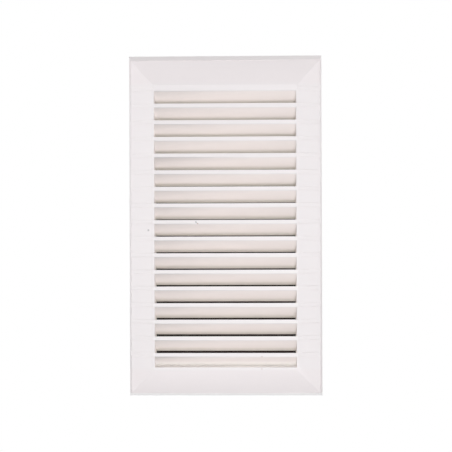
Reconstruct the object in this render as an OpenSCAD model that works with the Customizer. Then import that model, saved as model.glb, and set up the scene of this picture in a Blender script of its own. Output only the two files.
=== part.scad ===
// Louvred ventilation grille that covers the mouth of a rectangular wall duct.
// One moulding carries the bevelled border, the fixed blades and the collar, and an insect screen
// lies in a rebate at the collar's rear end.
// The front faces -Y, the wall is the plane Y = 0 and +Z is up. All sizes are in millimetres.

/* [Flange] */
// Width of the flange
flange_w = 170; // [140:1:260]
// Height of the flange
flange_h = 300; // [180:1:420]
// Height of the flat front face above the wall
face_height = 10; // [8:0.5:14]
// Thickness of the hollow border's wall
shell_t = 2; // [1.2:0.1:3]

/* [Border] */
// Width of the left and right border, from the flange's edge to the flat face
side_border = 22; // [14:0.5:30]
// Width of the top border
top_border = 26.7; // [16:0.1:34]
// Width of the bottom border
bottom_border = 23.1; // [14:0.1:32]
// Flat strip between the side border and the window
side_lip = 0.8; // [0.4:0.1:4]
// Flat strip above the window
top_lip = 1.5; // [0.5:0.1:5]
// Flat strip below the window
bottom_lip = 3; // [0.5:0.1:6]

/* [Rim] */
// Height of the rim's crest above the wall
rim_h = 4.2; // [3:0.1:6]
// Height of the rim's upright edge
rim_edge = 0.8; // [0.4:0.1:2]
// Width of the left and right bevel
side_bevel = 1.6; // [0.8:0.1:4]
// Width of the top bevel
top_bevel = 4.2; // [0.8:0.1:6]
// Width of the bottom bevel
bottom_bevel = 2.6; // [0.8:0.1:5]
// Width of the fine groove between the rim and the slope
rim_groove_w = 0.6; // [0.2:0.1:1.2]
// Depth of that groove
rim_groove_d = 0.3; // [0.1:0.1:0.6]
// Width by which the foot on the wall reaches past the bevel
foot_land = 1.4; // [0.8:0.1:3]

/* [Blades] */
// Distance from one blade to the next
blade_pitch = 14.56; // [12:0.02:18]
// Height of a blade's front edge
blade_front = 3.3; // [2:0.1:5]
// Upright thickness of a blade's rear edge
blade_rear = 2.2; // [1.2:0.1:3]
// Depth of a blade, from front to back
blade_depth = 10.7; // [8:0.1:14]
// Fall of a blade's underside, from front to back
blade_drop = 10.7; // [8:0.1:13]
// Least height of the recess under the last blade
last_recess = 4; // [3:0.5:8]
// Lean of the window's end walls over the depth of a blade
end_draft = 0.4; // [0.2:0.1:1.5]

/* [Mould lines] */
// Half width and depth of the fine lines across the side borders
mould_line = 0.25; // [0.1:0.05:0.4]

/* [Collar] */
// Thickness of the collar's wall
collar_wall = 2; // [1.6:0.1:4]
// Depth of the collar behind the wall plane
collar_depth = 10; // [6:0.5:30]
// Straight run of the end walls behind the blades
blade_land = 0.8; // [0.4:0.1:2]

/* [Screen] */
// Thickness of the insect screen
screen_t = 0.6; // [0.4:0.1:1.2]
// Width of the rebate that the screen lies in
screen_seat = 1.1; // [0.6:0.1:1.4]
// Clearance between the screen's edge and the collar
screen_gap = 0.2; // [0.1:0.05:0.5]
// Width of the screen's plain hem
screen_hem = 3; // [1.5:0.5:6]
// Width of a strand of the screen
strand_w = 1.2; // [0.6:0.1:2.5]
// Gaps across the screen
screen_columns = 8; // [4:1:8]
// Gaps up the screen
screen_rows = 15; // [6:1:15]

/* [Hidden] */

// Margin by which a cutter runs past what it cuts
over = 1;

// Window in the flat face, between the lips
window_w = flange_w - 2 * (side_border + side_lip);
window_top = flange_h / 2 - top_border - top_lip;
window_bottom = -flange_h / 2 + bottom_border + bottom_lip;
window_h = window_top - window_bottom;
window_z = (window_top + window_bottom) / 2;

// The top blade's front edge fills the top of the window, and the others follow below it
blade_count = floor((window_h - blade_front - last_recess) / blade_pitch) + 1;
blade_back = blade_depth - face_height;

// Outer section of one border, from the wall to the flat face, as [distance inwards, height]
function border_section(bevel, border) = [
    [0, 0],
    [0, rim_edge],
    [bevel, rim_h],
    [bevel + rim_groove_w / 2, rim_h - rim_groove_d],
    [bevel + rim_groove_w, rim_h],
    [border, face_height]
];

// Section of the hollow behind one border
function hollow_section(bevel, border) = [
    [bevel + foot_land, -over],
    [bevel + foot_land, rim_h - shell_t],
    [border, face_height - shell_t]
];

// Whole section from a low edge to a high edge, as [place across, height]
function across(low, low_section, high, high_section) = concat(
    [for (p = low_section) [low + p[0], p[1]]],
    [for (i = [len(high_section) - 1 : -1 : 0]) [high - high_section[i][0], high_section[i][1]]]
);

// Section across the width, drawn out along Z
module width_prism(section) {
    points = across(-flange_w / 2, section, flange_w / 2, section);
    translate([0, 0, -flange_h / 2])
        linear_extrude(height = flange_h)
            polygon([for (p = points) [p[0], -p[1]]]);
}

// Section up the height, drawn out along X
module height_prism(low_section, high_section) {
    points = across(-flange_h / 2, low_section, flange_h / 2, high_section);
    translate([-flange_w / 2, 0, 0])
        rotate([90, 0, 90])
            linear_extrude(height = flange_w)
                polygon([for (p = points) [-p[1], p[0]]]);
}

// Solid with the bevelled, mitred front
module bevelled_front() {
    intersection() {
        width_prism(border_section(side_bevel, side_border));
        height_prism(
            border_section(bottom_bevel, bottom_border),
            border_section(top_bevel, top_border)
        );
    }
}

// Space behind the front's wall
module hollow_back() {
    intersection() {
        width_prism(hollow_section(side_bevel, side_border));
        height_prism(
            hollow_section(bottom_bevel, bottom_border),
            hollow_section(top_bevel, top_border)
        );
    }
}

// Upright block over the window, grown by a margin on each side, from y0 to y1
module window_block(margin, y0, y1) {
    translate([-window_w / 2 - margin, y0, window_bottom - margin])
        cube([window_w + 2 * margin, y1 - y0, window_h + 2 * margin]);
}

// Duct path through the face and the collar, with end walls that lean in beside the blades
module window_path() {
    half = window_w / 2;
    land = blade_back + blade_land;
    right = [
        [half, -face_height - over],
        [half, -face_height],
        [half - end_draft, blade_back],
        [half - end_draft, land],
        [half, land + end_draft],
        [half, collar_depth + over]
    ];
    left = [for (i = [len(right) - 1 : -1 : 0]) [-right[i][0], right[i][1]]];
    translate([0, 0, window_bottom])
        linear_extrude(height = window_h)
            polygon(concat(right, left));
}

// One blade, with the top of its front edge at z = 0
module blade() {
    length = window_w + 2 * collar_wall;
    translate([-length / 2, -face_height, 0])
        rotate([90, 0, 90])
            linear_extrude(height = length)
                polygon([
                    [0, 0],
                    [0, -blade_front],
                    [blade_depth, -blade_front - blade_drop],
                    [blade_depth, -blade_front - blade_drop + blade_rear]
                ]);
}

// Block behind the face that joins the top blade's front edge to the lip above it
module top_joint() {
    length = window_w + 2 * collar_wall;
    translate([-length / 2, -face_height, window_top - blade_front])
        cube([length, shell_t, blade_front + collar_wall]);
}

// All blades, kept inside the collar's outline
module blades() {
    intersection() {
        union() {
            for (i = [0 : blade_count - 1])
                translate([0, 0, window_top - i * blade_pitch]) blade();
            top_joint();
        }
        window_block(collar_wall / 2, -face_height, collar_depth);
    }
}

// Fine lines across the right border, level with both edges of each blade's front
module mould_lines() {
    start = [flange_w / 2 - side_bevel - rim_groove_w, -rim_h];
    end = [flange_w / 2 - side_border, -face_height];
    run = start - end;
    side = mould_line * sqrt(2);
    for (i = [0 : blade_count - 1], level = [0, blade_front])
        translate([end[0], end[1], window_top - i * blade_pitch - level])
            rotate([0, 0, atan2(run[1], run[0])])
                rotate([45, 0, 0])
                    translate([-mould_line, -side / 2, -side / 2])
                        cube([norm(run) + mould_line - rim_groove_w, side, side]);
}

// The moulding: border, blades and collar in one piece
module grille() {
    color([0.95, 0.93, 0.93])
        difference() {
            union() {
                difference() {
                    union() {
                        difference() {
                            bevelled_front();
                            hollow_back();
                        }
                        intersection() {
                            window_block(collar_wall, -face_height, collar_depth);
                            union() {
                                bevelled_front();
                                window_block(collar_wall, -over, collar_depth);
                            }
                        }
                    }
                    window_path();
                }
                blades();
            }
            window_block(screen_seat, collar_depth - screen_t, collar_depth + over);
            mould_lines();
            mirror([1, 0, 0]) mould_lines();
        }
}

// The screen: a plain hem round a grid of strands
module insect_screen() {
    margin = screen_seat - screen_gap;
    field_w = window_w + 2 * (margin - screen_hem);
    field_h = window_h + 2 * (margin - screen_hem);
    hole_w = (field_w - (screen_columns - 1) * strand_w) / screen_columns;
    hole_h = (field_h - (screen_rows - 1) * strand_w) / screen_rows;
    color([0.22, 0.22, 0.23])
        difference() {
            window_block(margin, collar_depth - screen_t, collar_depth);
            for (c = [0 : screen_columns - 1], r = [0 : screen_rows - 1])
                translate([
                    -field_w / 2 + c * (hole_w + strand_w),
                    collar_depth - screen_t - over,
                    window_z - field_h / 2 + r * (hole_h + strand_w)
                ])
                    cube([hole_w, screen_t + 2 * over, hole_h]);
        }
}

grille();
insect_screen();
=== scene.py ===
"""Louvred ventilation grille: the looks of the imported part, laid out as an add-on and run as a script."""

import math

import bmesh
import bpy
from bpy.props import FloatProperty, FloatVectorProperty, IntProperty, PointerProperty
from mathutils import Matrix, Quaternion, Vector


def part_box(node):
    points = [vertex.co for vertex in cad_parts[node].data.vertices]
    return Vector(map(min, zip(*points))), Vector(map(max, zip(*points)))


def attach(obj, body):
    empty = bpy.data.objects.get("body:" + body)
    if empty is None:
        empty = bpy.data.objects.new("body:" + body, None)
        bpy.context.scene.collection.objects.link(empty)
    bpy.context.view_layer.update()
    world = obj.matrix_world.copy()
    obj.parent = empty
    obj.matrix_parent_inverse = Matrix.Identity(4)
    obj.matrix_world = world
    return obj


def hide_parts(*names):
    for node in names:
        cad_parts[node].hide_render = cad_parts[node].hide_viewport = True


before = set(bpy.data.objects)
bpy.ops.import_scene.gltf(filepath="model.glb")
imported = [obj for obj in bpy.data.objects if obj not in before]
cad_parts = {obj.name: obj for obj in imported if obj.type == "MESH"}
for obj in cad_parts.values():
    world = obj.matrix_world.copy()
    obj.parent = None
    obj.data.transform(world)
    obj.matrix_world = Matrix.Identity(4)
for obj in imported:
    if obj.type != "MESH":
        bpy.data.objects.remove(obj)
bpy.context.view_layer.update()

bl_info = {
    "name": "Ventilation grille",
    "version": (1, 0, 0),
    "blender": (4, 5, 0),
    "location": "View3D > Sidebar > Grille",
    "description": "Moulding, insect screen and studio of a louvred ventilation grille",
    "category": "Object",
}

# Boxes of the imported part, in metres
FLANGE_LOW, FLANGE_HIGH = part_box("grille")
SCREEN_LOW, SCREEN_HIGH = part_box("insect_screen")

# Places in the moulding, in metres, as in the part's source
FACE_Y = FLANGE_LOW.y
WINDOW_HALF = 0.0622
WINDOW_TOP = 0.1218
WINDOW_BOTTOM = -0.1239
BLADE_PITCH = 0.01456
BLADE_FRONT = 0.0033
LAST_RECESS = -0.1155
COLLAR_WALL = 0.002
NEAR = 2e-5

# Small marks on the moulding: place, radius, strength and colour
GREY_MARK = (0.36, 0.35, 0.36)
RUST_MARK = (0.42, 0.22, 0.15)
MARKS = (
    ((-0.0676, -0.0087, -0.0037), 0.0013, 0.6, GREY_MARK),
    ((-0.0258, FACE_Y, 0.0034), 0.0009, 0.8, GREY_MARK),
    ((-0.0250, FACE_Y, 0.0026), 0.0008, 0.5, GREY_MARK),
    ((-0.0242, FACE_Y, 0.0018), 0.0008, 0.7, RUST_MARK),
    ((0.0316, FACE_Y, -0.1147), 0.0013, 0.2, RUST_MARK),
    ((0.0314, FACE_Y, -0.1252), 0.0013, 0.15, RUST_MARK),
)

# Lamps round the grille: azimuth and elevation in degrees, distance and size in metres
LAMPS = {
    "front_lamp": (8.0, -20.0, 1.7, 0.5),
    "near_lamp": (15.0, -4.0, 0.8, 0.3),
    "left_high_lamp": (-60.0, 38.0, 1.7, 0.5),
    "left_lamp": (-75.0, 9.0, 0.8, 0.3),
    "right_lamp": (75.0, 30.0, 0.8, 0.3),
    "back_lamp": (180.0, 21.0, 1.6, 1.2),
}

# The photograph's frame
PIXELS = 452
WALL_PIXEL = 0.0008847


# ---------------------------------------------------------------- sizes and colours


class GrilleMoulding(bpy.types.PropertyGroup):
    """Finish of the white moulding."""

    edge_width: FloatProperty(
        name="Edge width",
        description="Width of the rounding on the collar's edges, which the other edges take a share of",
        default=0.0004,
        min=0.0,
        max=0.001,
        subtype="DISTANCE",
        unit="LENGTH",
    )
    plastic: FloatVectorProperty(
        name="Plastic",
        # Colour of the bare plastic
        description="Colour of the clean plastic",
        default=(0.862, 0.822, 0.832),
        size=3,
        min=0.0,
        max=1.0,
        subtype="COLOR",
    )
    border: FloatVectorProperty(
        name="Border",
        description="Colour of the border above and below the window",
        default=(0.862, 0.810, 0.820),
        size=3,
        min=0.0,
        max=1.0,
        subtype="COLOR",
    )
    painted_rim_light: FloatVectorProperty(
        name="Rim",
        # Lighter colour on the outer bevel along the bottom and, more faintly, the top: painted light on faces
        # the lamps leave too dim
        description="Colour of the worn rim along the bottom and, more faintly, the top",
        default=(0.945, 0.93, 0.935),
        size=3,
        min=0.0,
        max=1.0,
        subtype="COLOR",
    )
    painted_underside_light: FloatVectorProperty(
        name="Shaded plastic",
        description="Colour of the blades' undersides, which the sun has bleached less",
        # Colour of the blades' undersides and all else behind the face in the window: painted light, warmer
        # and lighter, for light passing through the thin plastic and bouncing between the blades
        default=(0.897, 0.828, 0.806),
        size=3,
        min=0.0,
        max=1.0,
        subtype="COLOR",
    )
    dust_and_shade: FloatVectorProperty(
        name="Dust",
        # Recess shade
        description="Colour that settles deep in the recesses",
        # Darker, browner colour deep in the open recesses: painted shade
        default=(0.685, 0.655, 0.60),
        size=3,
        min=0.0,
        max=1.0,
        subtype="COLOR",
    )
    clean: FloatVectorProperty(
        # Last recess light
        name="Clean recess",
        # Lighter colour deep in the closed recess under the last blade: painted light for light bouncing up
        # inside it
        description="Colour deep in the closed recess under the last blade, where no dust passes",
        default=(0.955, 0.925, 0.900),
        size=3,
        min=0.0,
        max=1.0,
        subtype="COLOR",
    )
    roughness: FloatProperty(
        name="Roughness",
        description="Mean roughness of the satin surface",
        default=0.46,
        min=0.0,
        max=1.0,
        subtype="FACTOR",
    )
    grain: FloatProperty(
        name="Grain height",
        description="Height of the mould's fine grain",
        default=0.000004,
        min=0.0,
        max=0.0001,
        subtype="DISTANCE",
        unit="LENGTH",
    )


class GrilleScreen(bpy.types.PropertyGroup):
    """Sizes and finish of the insect screen."""

    pitch: FloatProperty(
        name="Thread pitch",
        description="Distance from one thread to the next",
        default=0.0016,
        min=0.001,
        max=0.004,
        subtype="DISTANCE",
        unit="LENGTH",
    )
    thread: FloatProperty(
        name="Thread",
        description="Thickness of a thread",
        default=0.00026,
        min=0.0001,
        max=0.0006,
        subtype="DISTANCE",
        unit="LENGTH",
    )
    sides: IntProperty(
        name="Thread sides",
        description="Number of faces round a thread",
        default=6,
        min=4,
        max=8,
    )
    hem: FloatProperty(
        name="Hem",
        description="Width of the welded hem",
        default=0.003,
        min=0.001,
        max=0.006,
        subtype="DISTANCE",
        unit="LENGTH",
    )
    net: FloatVectorProperty(
        name="Net",
        description="Colour of the coated threads",
        default=(0.032, 0.030, 0.029),
        size=3,
        min=0.0,
        max=1.0,
        subtype="COLOR",
    )


class GrilleStudio(bpy.types.PropertyGroup):
    """Camera, lamps and floor."""

    camera_distance: FloatProperty(
        name="Camera distance",
        description="Distance from the wall plane to the camera",
        default=0.85,
        min=0.3,
        max=5.0,
        subtype="DISTANCE",
        unit="LENGTH",
    )
    camera_right: FloatProperty(
        name="Camera to the right",
        description="Distance of the camera to the right of the grille's centre",
        default=0.018,
        min=-0.5,
        max=0.5,
        subtype="DISTANCE",
        unit="LENGTH",
    )
    camera_roll: FloatProperty(
        name="Camera roll",
        description="Clockwise roll of the camera",
        default=math.radians(0.2),
        min=-0.2,
        max=0.2,
        subtype="ANGLE",
        unit="ROTATION",
    )
    front_lamp: FloatProperty(
        name="Front lamp",
        description="Power of the soft lamp in front and below",
        default=5.9,
        min=0.0,
        max=100.0,
        unit="POWER",
    )
    near_lamp: FloatProperty(
        name="Near lamp",
        description="Power of the soft lamp beside the camera",
        default=2.12,
        min=0.0,
        max=100.0,
        unit="POWER",
    )
    left_high_lamp: FloatProperty(
        name="High left lamp",
        description="Power of the soft lamp above and to the left",
        default=4.15,
        min=0.0,
        max=100.0,
        unit="POWER",
    )
    left_lamp: FloatProperty(
        name="Left lamp",
        description="Power of the soft lamp on the left",
        default=1.75,
        min=0.0,
        max=100.0,
        unit="POWER",
    )
    right_lamp: FloatProperty(
        name="Right lamp",
        description="Power of the soft lamp on the right",
        default=1.46,
        min=0.0,
        max=100.0,
        unit="POWER",
    )
    back_lamp: FloatProperty(
        name="Back lamp",
        description="Power of the soft lamp behind",
        default=20.0,
        min=0.0,
        max=100.0,
        unit="POWER",
    )
    ambient: FloatProperty(
        name="Ambient",
        description="Strength of the even light from all round",
        default=0.255,
        min=0.0,
        max=1.0,
    )
    floor_drop: FloatProperty(
        name="Floor drop",
        description="Distance from the grille's centre down to the floor",
        default=0.95,
        min=0.2,
        max=3.0,
        subtype="DISTANCE",
        unit="LENGTH",
    )


# ---------------------------------------------------------------- shader nodes


class Value:
    """A shader socket that takes Python's operators, so that shader maths reads as an expression."""

    def __init__(self, shader, socket):
        self.shader = shader
        self.socket = socket

    def maths(self, operation, *others, clamp=False):
        inputs = dict(enumerate((self, *others)))
        node = self.shader.add("ShaderNodeMath", {"operation": operation, "use_clamp": clamp}, inputs)
        return self.shader.out(node)

    def __add__(self, other):
        return self.maths("ADD", other)

    def __sub__(self, other):
        return self.maths("SUBTRACT", other)

    def __rsub__(self, other):
        return self.maths("MULTIPLY", -1.0) + other

    def __mul__(self, other):
        return self.maths("MULTIPLY", other)

    def __truediv__(self, other):
        return self.maths("DIVIDE", other)

    __radd__ = __add__
    __rmul__ = __mul__


class Shader:
    """The node tree of one material or of the world."""

    def __init__(self, name, kind="materials"):
        self.owner = getattr(bpy.data, kind).new(name)
        self.owner.use_nodes = True
        self.tree = self.owner.node_tree
        self.tree.nodes.clear()
        self.place = self.out(self.add("ShaderNodeTexCoord"), "Object")

    def add(self, kind, settings=None, inputs=None):
        """Adds a node of that kind, sets it up, and fills or links its sockets."""
        node = self.tree.nodes.new(kind)
        for name, setting in (settings or {}).items():
            if name == "stops":
                self.set_stops(node.color_ramp, setting)
            else:
                setattr(node, name, setting)
        for name, given in (inputs or {}).items():
            if isinstance(given, Value):
                self.tree.links.new(given.socket, node.inputs[name])
            else:
                node.inputs[name].default_value = given
        return node

    def set_stops(self, ramp, stops):
        """Gives a colour ramp its stops, each a position and a grey or a colour."""
        while len(ramp.elements) < len(stops):
            ramp.elements.new(1.0)
        for element, (position, colour) in zip(ramp.elements, stops):
            element.position = position
            element.color = (colour,) * 3 + (1.0,) if isinstance(colour, float) else (*colour, 1.0)

    def out(self, node, name=0):
        """One output of a node as a value."""
        return Value(self, node.outputs[name])

    def split(self):
        """The three coordinates of the place on the object."""
        node = self.add("ShaderNodeSeparateXYZ", None, {0: self.place})
        return [self.out(node, name) for name in "XYZ"]

    def noise(self, scale, detail=2.0, stretch=(1.0, 1.0, 1.0)):
        """Noise from -1 to 1 with that many grains a metre, stretched by a factor along each axis."""
        place = self.out(
            self.add("ShaderNodeVectorMath", {"operation": "MULTIPLY"}, {0: self.place, 1: stretch})
        )
        node = self.add(
            "ShaderNodeTexNoise",
            {"noise_dimensions": "3D"},
            {"Vector": place, "Scale": scale, "Detail": detail, "Roughness": 0.55},
        )
        return (self.out(node) - 0.5) * 2.0

    def ramp(self, value, low, high):
        """0 where a value is at low and 1 where it is at high, with a smooth rise between them."""
        node = self.add(
            "ShaderNodeMapRange",
            {"interpolation_type": "SMOOTHSTEP", "clamp": True},
            {"Value": value, "From Min": low, "From Max": high},
        )
        return self.out(node)

    def spot(self, centre, radius, stretch=(1.0, 1.0, 1.0)):
        """1 in the middle of a soft spot round a place and 0 outside it."""
        offset = self.add("ShaderNodeVectorMath", {"operation": "SUBTRACT"}, {0: self.place, 1: centre})
        scaled = self.add(
            "ShaderNodeVectorMath", {"operation": "MULTIPLY"}, {0: self.out(offset), 1: stretch}
        )
        length = self.add("ShaderNodeVectorMath", {"operation": "LENGTH"}, {0: self.out(scaled)})
        return self.ramp(self.out(length, "Value"), radius, radius * 0.35)

    def mix(self, factor, first, second, blend="MIX"):
        """Blends two colours."""
        node = self.add("ShaderNodeMix", {"data_type": "RGBA", "blend_type": blend}, {0: factor})
        for index, colour in ((6, first), (7, second)):
            if isinstance(colour, Value):
                self.tree.links.new(colour.socket, node.inputs[index])
            else:
                node.inputs[index].default_value = (*colour, 1.0)
        return self.out(node, 2)

    def brighten(self, colour, factor):
        """Scales a colour by a grey factor."""
        scale = self.grey(factor)
        node = self.add("ShaderNodeVectorMath", {"operation": "MULTIPLY"}, {0: colour, 1: scale})
        return self.out(node)

    def grey(self, level):
        """A grey of that level."""
        return self.out(self.add("ShaderNodeCombineXYZ", None, {0: level, 1: level, 2: level}))

    def bump(self, height):
        """A normal from a height in metres."""
        node = self.add(
            "ShaderNodeBump", None, {"Height": height, "Distance": 1.0, "Strength": 1.0}
        )
        return self.out(node)

    def shown(self):
        """1 for what the camera sees, also in a mirror or through glass, and 0 for other light."""
        path = self.add("ShaderNodeLightPath")
        seen = self.out(path, "Is Camera Ray") + self.out(path, "Is Glossy Ray")
        return seen.maths("ADD", self.out(path, "Is Transmission Ray"), clamp=True)

    def finish(self, shader, output="ShaderNodeOutputMaterial"):
        """Ends the tree in a surface."""
        self.add(output, None, {"Surface": self.out(shader)})
        return self.owner


# ---------------------------------------------------------------- modelling helpers


def start_piece():
    """Leaves edit mode and deselects all, so that the next operator acts on its own object alone."""
    if bpy.context.object and bpy.context.object.mode != "OBJECT":
        bpy.ops.object.mode_set(mode="OBJECT")
    bpy.ops.object.select_all(action="DESELECT")


def pick(piece):
    """Makes a piece the only selected object and the active one."""
    start_piece()
    piece.select_set(True)
    bpy.context.view_layer.objects.active = piece


def edit(piece, wanted=None, kind="FACE"):
    """Opens a piece in edit mode with only the wanted faces or edges selected, or all of them."""
    pick(piece)
    bpy.ops.object.mode_set(mode="EDIT")
    bpy.ops.mesh.select_mode(type=kind)
    bpy.ops.mesh.select_all(action="DESELECT" if wanted else "SELECT")
    if wanted:
        bpy.ops.object.mode_set(mode="OBJECT")
        for element in piece.data.edges if kind == "EDGE" else piece.data.polygons:
            element.select = wanted(element)
        bpy.ops.object.mode_set(mode="EDIT")


def close_edit():
    bpy.ops.object.mode_set(mode="OBJECT")


def apply_place(piece, name):
    """Moves a piece's place and scale into its mesh and names it."""
    pick(piece)
    bpy.ops.object.transform_apply(location=True, rotation=True, scale=True)
    piece.name = piece.data.name = name


def upright_plane(name, low, high, y):
    """An upright rectangle between two corners, that faces the room."""
    start_piece()
    bpy.ops.mesh.primitive_plane_add(
        size=1.0,
        location=((low.x + high.x) / 2, y, (low.z + high.z) / 2),
        rotation=(math.pi / 2, 0.0, 0.0),
    )
    plane = bpy.context.object
    plane.scale = (high.x - low.x, high.z - low.z, 1.0)
    apply_place(plane, name)
    return plane


def apply_modifier(piece, kind, **settings):
    """Adds a modifier, sets it up and applies it."""
    pick(piece)
    modifier = piece.modifiers.new(kind.title(), kind)
    for name, setting in settings.items():
        setattr(modifier, name, setting)
    bpy.ops.object.modifier_apply(modifier=modifier.name)


def dress(piece, material):
    """Gives a piece its material in one slot, and lets it ride on the grille."""
    piece.data.materials.clear()
    piece.data.materials.append(material)
    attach(piece, "root")


# ---------------------------------------------------------------- moulding


def rounding(a, b, bend):
    """Share of the edge width that the edge from a to b gets, by its place and its bend in radians."""
    low, high = Vector(map(min, a, b)), Vector(map(max, a, b))
    run = high - low
    on_face = high.y < FACE_Y + NEAR
    in_window = max(abs(low.x), abs(high.x)) < WINDOW_HALF + NEAR
    if on_face and in_window and bend > 0.5:
        return 0.6
    collar = (WINDOW_HALF + COLLAR_WALL, WINDOW_TOP + COLLAR_WALL, WINDOW_BOTTOM - COLLAR_WALL)
    on_side = abs(abs(low.x) - collar[0]) < NEAR and abs(abs(high.x) - collar[0]) < NEAR
    on_end = any(abs(low.z - level) < NEAR and abs(high.z - level) < NEAR for level in collar[1:])
    if low.y > FLANGE_HIGH.y - NEAR and (on_side or on_end):
        return 0.7
    if on_side and on_end and run.y > 0.004:
        return 1.0
    if low.y < -0.004 and min(run.x, run.z) > 0.005:
        return 0.4
    return 0.0


def round_edges(piece, width):
    """Rounds the edges that rounding() names, and keeps every other bend crisp."""
    mesh = bmesh.new()
    mesh.from_mesh(piece.data)
    weight = mesh.edges.layers.float.new("bevel_weight_edge")
    for edge in mesh.edges:
        bend = edge.calc_face_angle(0.0)
        share = rounding(edge.verts[0].co, edge.verts[1].co, bend)
        edge[weight] = share
        edge.smooth = share > 0.0 or bend < 0.02
    mesh.to_mesh(piece.data)
    mesh.free()
    pick(piece)
    bpy.ops.object.shade_smooth(keep_sharp_edges=True)
    apply_modifier(
        piece,
        "BEVEL",
        width=width,
        segments=3,
        limit_method="WEIGHT",
        offset_type="OFFSET",
        use_clamp_overlap=False,
        harden_normals=True,
        miter_outer="MITER_SHARP",
    )


def plastic(settings):
    """Satin warm-white plastic with a fine grain, faint tone changes and small marks, painted shade deep in
    the open recesses and painted light on the outer bevel, behind the face in the window and in the closed
    last recess.
    """
    shader = Shader("satin_white_plastic")
    x, y, z = shader.split()
    tone = 1.0 + shader.noise(16.0) * 0.012 + shader.noise(170.0) * 0.008
    middle = (WINDOW_TOP + WINDOW_BOTTOM) / 2
    off_middle = (z - middle).maths("ABSOLUTE")
    inside = x.maths("ABSOLUTE").maths("LESS_THAN", WINDOW_HALF + NEAR)
    inside = inside * off_middle.maths("LESS_THAN", WINDOW_TOP - middle + NEAR)
    border = shader.ramp(off_middle, WINDOW_TOP - middle, WINDOW_TOP - middle + 0.005)
    # Painted light: the outer bevel along the bottom, and a quarter as much along the top, takes a lighter,
    # more neutral colour.
    painted_rim_light = shader.ramp(z, FLANGE_LOW.z + 0.0029, FLANGE_LOW.z + 0.0025)
    painted_rim_light = painted_rim_light + shader.ramp(z, FLANGE_HIGH.z - 0.0045, FLANGE_HIGH.z - 0.0041) * 0.25
    # Painted light: behind the face, inside the window, the plastic takes a warmer, lighter colour that stands
    # for light passing through it and bouncing between the blades.
    painted_underside_light = inside * shader.ramp(y, FACE_Y + 0.0002, FACE_Y + 0.0012)
    # Painted shade: the deeper a point lies in an open recess, the more of the darker, browner colour it
    # takes, and the rougher it gets; the closed last recess is left out.
    depth = shader.ramp(y, FACE_Y + 0.003, 0.0005) * 0.25 + shader.ramp(y, -0.0035, 0.0003) * 0.7
    open_recess = shader.ramp(z, LAST_RECESS, LAST_RECESS + 0.002)
    painted_recess_shade = inside * open_recess * depth * (1.0 + shader.noise(60.0) * 0.15)
    colour = shader.mix(border, tuple(settings.plastic), tuple(settings.border))
    colour = shader.mix(painted_rim_light, colour, tuple(settings.painted_rim_light))
    colour = shader.mix(painted_underside_light, colour, tuple(settings.painted_underside_light))
    colour = shader.mix(painted_recess_shade, colour, tuple(settings.dust_and_shade))
    # Painted light: deep in the closed recess under the last blade, the plastic takes a lighter colour.
    clean = inside * (1.0 - open_recess) * shader.ramp(y, FACE_Y + 0.0035, FACE_Y + 0.007)
    colour = shader.mix(clean, colour, tuple(settings.clean))
    for centre, radius, strength, stain in MARKS:
        colour = shader.mix(shader.spot(centre, radius) * strength, colour, stain)
    colour = shader.brighten(colour, tone)
    grain = shader.noise(1900.0, 1.0)
    height = grain * settings.grain + shader.noise(28.0, 1.0) * 0.00002
    surface = shader.add(
        "ShaderNodeBsdfPrincipled",
        None,
        {
            "Base Color": colour,
            "Roughness": shader.noise(90.0) * 0.04 + painted_recess_shade * 0.2 + settings.roughness,
            "Normal": shader.bump(height),
            "IOR": 1.46,
        },
    )
    return shader.finish(surface)


class GRILLE_OT_moulding(bpy.types.Operator):
    """Make the white moulding with rounded edges"""

    bl_idname = "grille.moulding"
    bl_label = "Moulding"

    def execute(self, context):
        settings = context.scene.grille_moulding
        start_piece()
        piece = bpy.data.objects.new("moulding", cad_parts["grille"].data.copy())
        context.scene.collection.objects.link(piece)
        edit(piece)
        bpy.ops.mesh.remove_doubles(threshold=1e-6)
        bpy.ops.mesh.dissolve_limited(angle_limit=math.radians(0.2))
        close_edit()
        round_edges(piece, settings.edge_width)
        apply_place(piece, "moulding")
        dress(piece, plastic(settings))
        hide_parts("grille")
        return {"FINISHED"}


# ---------------------------------------------------------------- screen


def coated_thread(settings):
    """Matt charcoal coating with a faint grain and a light dusting."""
    shader = Shader("coated_net")
    # Pale specks at random on the threads; no painted shade here.
    dust_and_shade = shader.ramp(shader.noise(240.0), 0.1, 0.9) * 0.25
    colour = shader.mix(dust_and_shade, tuple(settings.net), (0.11, 0.10, 0.09))
    surface = shader.add(
        "ShaderNodeBsdfPrincipled",
        None,
        {
            "Base Color": colour,
            "Roughness": shader.noise(500.0) * 0.08 + 0.62,
            "Normal": shader.bump(shader.noise(3000.0, 1.0) * 0.000006),
            "IOR": 1.46,
        },
    )
    return shader.finish(surface)


def thread_along(axis, length, thickness, sides):
    """A straight thread of that length along an axis, through the origin."""
    start_piece()
    turn = (0.0, math.pi / 2, 0.0) if axis == "X" else (0.0, 0.0, 0.0)
    bpy.ops.mesh.primitive_cylinder_add(
        vertices=sides, radius=thickness / 2, depth=length, rotation=turn
    )
    thread = bpy.context.object
    apply_place(thread, "thread")
    return thread


def wave(thread, steps, length, height):
    """Cuts a thread along X into steps and moves its rings forwards and back in turn."""


    def runs_along(edge):
        a, b = (thread.data.vertices[i].co for i in edge.vertices)
        return abs(a.x - b.x) > length / 2

    edit(thread, runs_along, "EDGE")
    bpy.ops.mesh.subdivide(number_cuts=steps - 1)
    close_edit()
    for vertex in thread.data.vertices:
        ring = round((vertex.co.x / length + 0.5) * steps)
        vertex.co.y += height if ring % 2 else -height


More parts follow.
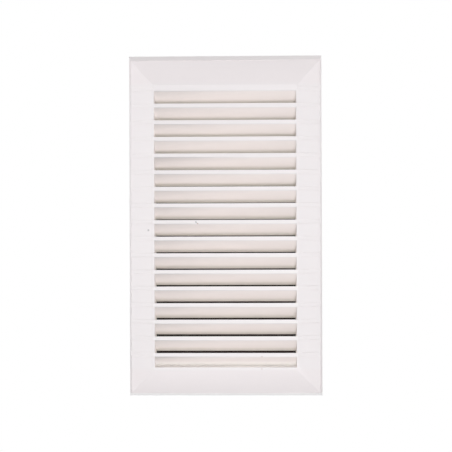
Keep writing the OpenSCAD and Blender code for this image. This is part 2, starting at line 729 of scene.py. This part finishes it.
class GRILLE_OT_screen(bpy.types.Operator):
    """Make the woven insect screen and its welded hem"""

    bl_idname = "grille.screen"
    bl_label = "Insect screen"

    def execute(self, context):
        settings = context.scene.grille_screen
        middle = (SCREEN_LOW + SCREEN_HIGH) / 2
        size = SCREEN_HIGH - SCREEN_LOW
        material = coated_thread(settings)

        hem = upright_plane("screen_hem", SCREEN_LOW, SCREEN_HIGH, middle.y)
        edit(hem)
        bpy.ops.mesh.inset(thickness=settings.hem, depth=0.0)
        bpy.ops.mesh.delete(type="FACE")
        close_edit()
        apply_modifier(hem, "SOLIDIFY", thickness=size.y, offset=0.0)
        apply_modifier(hem, "BEVEL", width=0.00012, segments=2, limit_method="ANGLE")
        dress(hem, material)

        field = size - Vector((2 * settings.hem, 0.0, 2 * settings.hem))
        columns = round(field.x / settings.pitch)
        rows = round(field.z / settings.pitch)
        across, up = field.x / columns, field.z / rows
        tuck = settings.hem / 3
        lift = settings.thread * 0.9
        net_y = SCREEN_HIGH.y - lift - settings.thread / 2 - 0.00002

        warp = thread_along("Z", field.z + 2 * tuck, settings.thread, settings.sides)
        apply_modifier(
            warp,
            "ARRAY",
            count=columns - 1,
            use_relative_offset=False,
            use_constant_offset=True,
            constant_offset_displace=(across, 0.0, 0.0),
        )
        warp.location = (middle.x - field.x / 2 + across, net_y, middle.z)
        apply_place(warp, "net_warp")

        wefts = []
        for parity in (0, 1):
            length = field.x + across
            weft = thread_along("X", length, settings.thread, settings.sides)
            wave(weft, columns + 1, length, lift if parity else -lift)
            count = (rows - 1 + 1 - parity) // 2
            apply_modifier(
                weft,
                "ARRAY",
                count=count,
                use_relative_offset=False,
                use_constant_offset=True,
                constant_offset_displace=(0.0, 0.0, 2 * up),
            )
            weft.location = (middle.x, net_y, middle.z - field.z / 2 + (1 + parity) * up)
            apply_place(weft, "net_weft")
            wefts.append(weft)
        start_piece()
        for piece in (warp, *wefts):
            piece.select_set(True)
        context.view_layer.objects.active = warp
        bpy.ops.object.join()
        net = context.object
        net.name = net.data.name = "screen_net"
        pick(net)
        bpy.ops.object.shade_smooth_by_angle(angle=math.radians(70))
        dress(net, material)
        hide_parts("insect_screen")
        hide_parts("insect_screen")
        return {"FINISHED"}


# ---------------------------------------------------------------- stage


def unlit_duct():
    """Darkness of the duct, seen from the front alone."""
    shader = Shader("unlit_duct")
    dark = shader.add("ShaderNodeEmission", None, {"Color": (0.030, 0.021, 0.018, 1.0)})
    clear = shader.add("ShaderNodeBsdfTransparent")
    behind = shader.out(shader.add("ShaderNodeNewGeometry"), "Backfacing")
    both = shader.add(
        "ShaderNodeMixShader", None, {0: behind, 1: shader.out(dark), 2: shader.out(clear)}
    )
    return shader.finish(both)


def pale_floor():
    """Matt pale floor, which the camera sees brighter than the low lamps light it."""
    shader = Shader("pale_floor")
    grey = shader.noise(3.0) * 0.01 + 0.84
    glow = shader.shown() * 0.5
    surface = shader.add(
        "ShaderNodeBsdfPrincipled",
        None,
        {
            "Base Color": shader.grey(grey),
            "Roughness": 0.8,
            "Emission Color": shader.grey(glow),
            "Emission Strength": 1.0,
        },
    )
    return shader.finish(surface)


def pale_world(ambient):
    """White behind the object and an even light of the ambient strength on it."""
    shader = Shader("studio", "worlds")
    strength = shader.shown() * (1.0 - ambient) + ambient
    background = shader.add(
        "ShaderNodeBackground", None, {"Color": (1.0, 1.0, 1.0, 1.0), "Strength": strength}
    )
    return shader.finish(background, "ShaderNodeOutputWorld")


def soft_lamp(name, azimuth, elevation, distance, size, power):
    """A square area lamp that faces the grille from an azimuth and an elevation in degrees."""
    lamp = bpy.data.lights.new(name, "AREA")
    lamp.shape = "SQUARE"
    lamp.size = size
    lamp.energy = power
    turn = Quaternion((0.0, 0.0, 1.0), math.radians(azimuth))
    lift = Quaternion((1.0, 0.0, 0.0), math.radians(90.0 - elevation))
    obj = bpy.data.objects.new(name, lamp)
    obj.rotation_mode = "QUATERNION"
    obj.rotation_quaternion = turn @ lift
    obj.location = obj.rotation_quaternion @ Vector((0.0, 0.0, distance))
    obj.visible_camera = False
    bpy.context.scene.collection.objects.link(obj)
    return obj


class GRILLE_OT_studio(bpy.types.Operator):
    """Make the floor, the dark of the duct, the lamps, the world and the camera"""

    bl_idname = "grille.studio"
    bl_label = "Studio"

    def execute(self, context):
        settings = context.scene.grille_studio
        scene = context.scene

        start_piece()
        bpy.ops.mesh.primitive_plane_add(size=6.0, location=(0.0, 0.0, -settings.floor_drop))
        floor = context.object
        apply_place(floor, "studio_floor")
        floor.data.materials.append(pale_floor())

        low = Vector((-WINDOW_HALF - COLLAR_WALL / 2, 0.0, WINDOW_BOTTOM - COLLAR_WALL / 2))
        high = Vector((WINDOW_HALF + COLLAR_WALL / 2, 0.0, WINDOW_TOP + COLLAR_WALL / 2))
        shade = upright_plane("duct_shade", low, high, FLANGE_HIGH.y + 0.0006)
        shade.data.materials.append(unlit_duct())
        shade.visible_diffuse = shade.visible_glossy = False
        shade.visible_transmission = shade.visible_shadow = False

        for name, place in LAMPS.items():
            soft_lamp(name, *place, getattr(settings, name))

        scene.world = pale_world(settings.ambient)

        camera = bpy.data.cameras.new("camera")
        camera.sensor_width = 36.0
        camera.lens = 36.0 * settings.camera_distance / (PIXELS * WALL_PIXEL)
        obj = bpy.data.objects.new("camera", camera)
        scene.collection.objects.link(obj)
        obj.location = (settings.camera_right, -settings.camera_distance, 0.0)
        aim = Vector((0.4 * WALL_PIXEL, 0.0, -0.25 * WALL_PIXEL))
        facing = (aim - obj.location).to_track_quat("-Z", "Y")
        obj.rotation_mode = "QUATERNION"
        obj.rotation_quaternion = facing @ Quaternion((0.0, 0.0, 1.0), -settings.camera_roll)
        scene.camera = obj
        scene.view_settings.view_transform = "Standard"
        return {"FINISHED"}


# ---------------------------------------------------------------- panel and registration


class GRILLE_PT_panel(bpy.types.Panel):
    """Lists the grille's pieces and their settings"""

    bl_idname = "GRILLE_PT_panel"
    bl_label = "Ventilation grille"
    bl_space_type = "VIEW_3D"
    bl_region_type = "UI"
    bl_category = "Grille"

    def draw(self, context):
        rows = (
            (GRILLE_OT_moulding, context.scene.grille_moulding),
            (GRILLE_OT_screen, context.scene.grille_screen),
            (GRILLE_OT_studio, context.scene.grille_studio),
        )
        for operator, settings in rows:
            box = self.layout.box()
            box.operator(operator.bl_idname)
            for name in settings.__annotations__:
                box.prop(settings, name)


CLASSES = (
    GrilleMoulding,
    GrilleScreen,
    GrilleStudio,
    GRILLE_OT_moulding,
    GRILLE_OT_screen,
    GRILLE_OT_studio,
    GRILLE_PT_panel,
)


def register():
    for each in CLASSES:
        bpy.utils.register_class(each)
    bpy.types.Scene.grille_moulding = PointerProperty(type=GrilleMoulding)
    bpy.types.Scene.grille_screen = PointerProperty(type=GrilleScreen)
    bpy.types.Scene.grille_studio = PointerProperty(type=GrilleStudio)


def unregister():
    del bpy.types.Scene.grille_studio
    del bpy.types.Scene.grille_screen
    del bpy.types.Scene.grille_moulding
    for each in reversed(CLASSES):
        bpy.utils.unregister_class(each)


def main():
    """Makes the pieces and the studio."""
    register()
    bpy.ops.grille.moulding()
    bpy.ops.grille.screen()
    bpy.ops.grille.studio()


if __name__ == "__main__":
    main()
